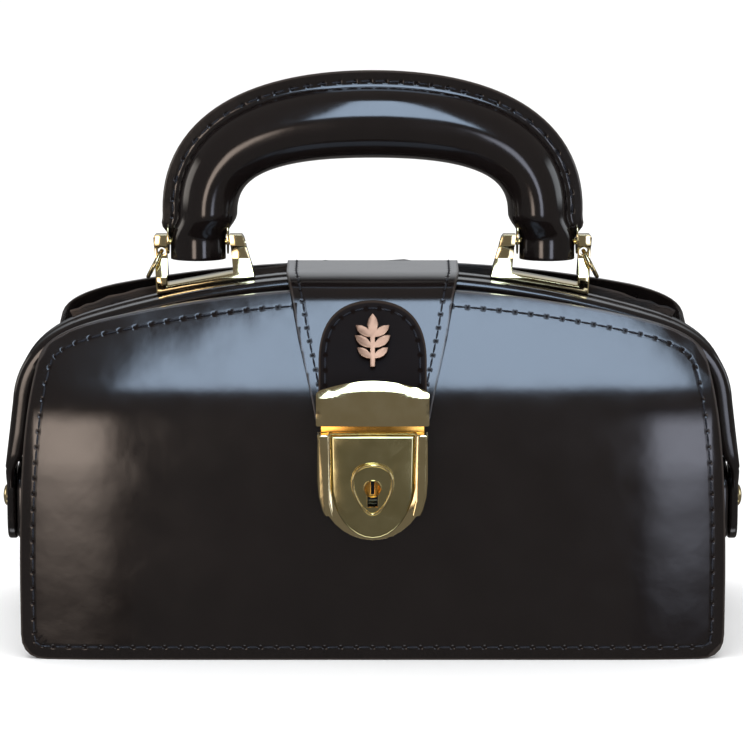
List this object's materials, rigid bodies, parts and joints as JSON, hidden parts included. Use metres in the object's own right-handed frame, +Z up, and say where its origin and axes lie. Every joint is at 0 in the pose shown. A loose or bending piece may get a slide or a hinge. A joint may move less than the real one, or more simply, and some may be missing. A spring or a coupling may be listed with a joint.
{
  "type": "doctor bag",
  "caption": "Small framed doctor bag in polished leather, with a hinged mouth frame, a lifting centre strap, a slide lock and a padded top handle.",
  "frame": {"origin": "middle of the base, on the surface that the bag stands on", "axes": "+X to the right along the width, -Y is the front with the lock, +Z up"},
  "size_m": [0.2726, 0.1266, 0.2023],
  "materials": {
    "leather": "polished",
    "raw_leather": "raw cut edge",
    "lining": "matte",
    "board": "matte",
    "steel": "plain",
    "brass_plating": "polished"
  },
  "bodies": {
    "root": {"back_panel": "leather", "lining_back": "lining", "base_leather": "leather", "base_board": "board", "gusset_right": "leather", "gusset_left": "leather", "inner_pocket": "lining", "rear_frame": "steel", "rear_rim": "leather", "hinge_pin_left": "brass_plating", "hinge_washer_left": "steel", "hinge_pin_right": "brass_plating", "hinge_washer_right": "steel", "rear_mouth_strip": "leather", "back_strip": "raw_leather", "bracket_right": "brass_plating", "handle_pin_right": "brass_plating", "bracket_rivet_right": "steel", "bracket_left": "brass_plating", "handle_pin_left": "brass_plating", "bracket_rivet_left": "steel", "strap_rear": "leather"},
    "front_wall": {"front_panel": "leather", "lining_front": "lining", "lock_case": "brass_plating", "lock_backplate": "steel", "lock_rivet_left": "steel", "lock_rivet_right": "steel", "key_cylinder": "steel", "lock_spring": "steel"},
    "front_mouth": {"front_frame": "steel", "front_rim": "leather"},
    "front_strip": {"front_mouth_strip": "leather"},
    "flap": {"strap_front": "leather", "strap_tab": "leather", "ornament": "brass_plating", "hasp_plate": "brass_plating", "hasp_backing": "steel", "hasp_rivet_left": "steel", "hasp_rivet_right": "steel"},
    "handle": {"handle_cover": "leather", "handle_core": "steel", "handle_end_left_inner": "brass_plating", "handle_end_left_outer": "brass_plating", "handle_end_right_inner": "brass_plating", "handle_end_right_outer": "brass_plating"},
    "ring_left": {"strap_ring_left": "brass_plating"},
    "ring_right": {"strap_ring_right": "brass_plating"},
    "slider": {"lock_slider": "brass_plating", "escutcheon": "brass_plating"}
  },
  "joints": [
    {"name": "flap_lift", "type": "hinge", "parent": "root", "child": "flap", "pos_m": [0, -0.019, 0.1332], "axis": [-1, 0, 0], "range_deg": [0, 70]},
    {"name": "mouth_open", "type": "hinge", "parent": "root", "child": "front_mouth", "pos_m": [0, 0, 0.047], "axis": [1, 0, 0], "range_deg": [0, 19.01]},
    {"name": "front_panel_lean", "type": "hinge", "parent": "root", "child": "front_wall", "pos_m": [0, -0.06, 0], "axis": [1, 0, 0], "range_deg": [0, 8.71], "deforming": ["gusset_left", "gusset_right"]},
    {"name": "front_strip_fold", "type": "hinge", "parent": "front_wall", "child": "front_strip", "pos_m": [0, 0.05656, 0.0778], "axis": [1, 0, 0], "range_deg": [0, 10.31], "deforming": ["front_mouth_strip"]},
    {"name": "handle_swing", "type": "hinge", "parent": "root", "child": "handle", "pos_m": [0, 0.0063, 0.1407], "axis": [1, 0, 0], "range_deg": [-50, 50]},
    {"name": "ring_left_swing", "type": "hinge", "parent": "root", "child": "ring_left", "pos_m": [-0.0773, 0.0063, 0.1372], "axis": [0, 1, 0], "range_deg": [0, 80]},
    {"name": "ring_right_swing", "type": "hinge", "parent": "root", "child": "ring_right", "pos_m": [0.0773, 0.0063, 0.1372], "axis": [0, -1, 0], "range_deg": [0, 80]},
    {"name": "lock_slide", "type": "slide", "parent": "front_wall", "child": "slider", "axis": [0, 0, -1], "range_m": [0, 0.003], "stiffness_N_per_m": 400, "deforming": ["lock_spring"]}
  ],
  "couplings": [
    {"joint": "mouth_open", "follows": "flap_lift", "ratio": 0.27143},
    {"joint": "front_panel_lean", "follows": "flap_lift", "ratio": 0.12429},
    {"joint": "front_strip_fold", "follows": "flap_lift", "ratio": 0.14714}
  ]
}
